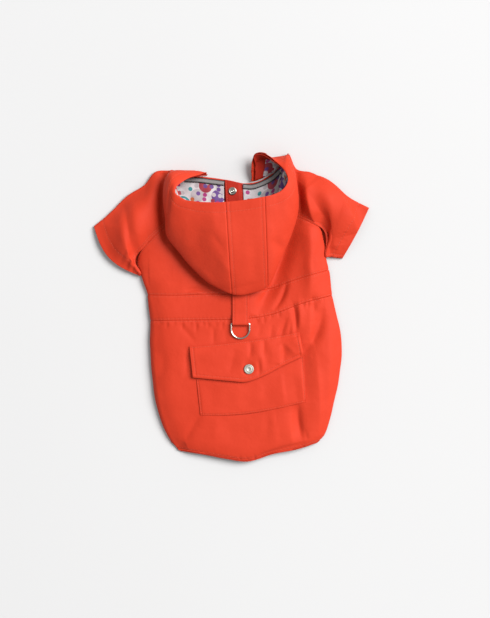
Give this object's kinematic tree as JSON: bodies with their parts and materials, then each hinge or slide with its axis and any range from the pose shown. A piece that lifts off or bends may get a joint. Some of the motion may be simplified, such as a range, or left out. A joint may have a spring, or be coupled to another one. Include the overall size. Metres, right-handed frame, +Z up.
{
  "type": "pet raincoat laid flat, rigid cloth",
  "caption": "Hooded raincoat for a small dog, laid flat with its back up: short sleeves, waistband, flap pocket and a leash ring.",
  "frame": {"origin": "middle of the coat on the surface it lies on", "axes": "+Z up from the surface through the back, +Y from the hem towards the neck, +X to the right seen from above"},
  "size_m": [0.3437, 0.3843, 0.0508],
  "materials": {
    "coat_cloth": "smooth water-repellent nylon with a low sheen",
    "facing_cloth": "the same nylon, seen inside",
    "lining_cloth": "matt printed lining",
    "tape_cloth": "woven grey tape",
    "metal": "nickel plated, lightly brushed"
  },
  "bodies": {
    "coat": {"back_yoke": "coat_cloth", "back_waistband": "coat_cloth", "back_skirt": "coat_cloth", "back_hem_band": "coat_cloth", "front_left": "coat_cloth", "front_right": "coat_cloth", "throat_lining_left": "lining_cloth", "throat_lining_right": "lining_cloth", "placket_facing": "facing_cloth", "snap_stud": "metal", "neck_tape_left": "tape_cloth", "neck_tape_right": "tape_cloth", "sleeve_left": "coat_cloth", "sleeve_right": "coat_cloth", "hood_left": "coat_cloth", "hood_centre": "coat_cloth", "hood_right": "coat_cloth", "hood_facing": "facing_cloth", "hood_lining": "lining_cloth", "leash_strap": "coat_cloth", "pocket": "coat_cloth", "pocket_flap": "coat_cloth", "snap_cap": "metal"},
    "d_ring": {"d_ring": "metal"}
  },
  "joints": [
    {"name": "d_ring_hinge", "type": "hinge", "parent": "coat", "child": "d_ring", "pos_m": [0.0115, -0.0205, 0.01832], "axis": [-1, 0, 0], "range_deg": [0, 170]}
  ]
}
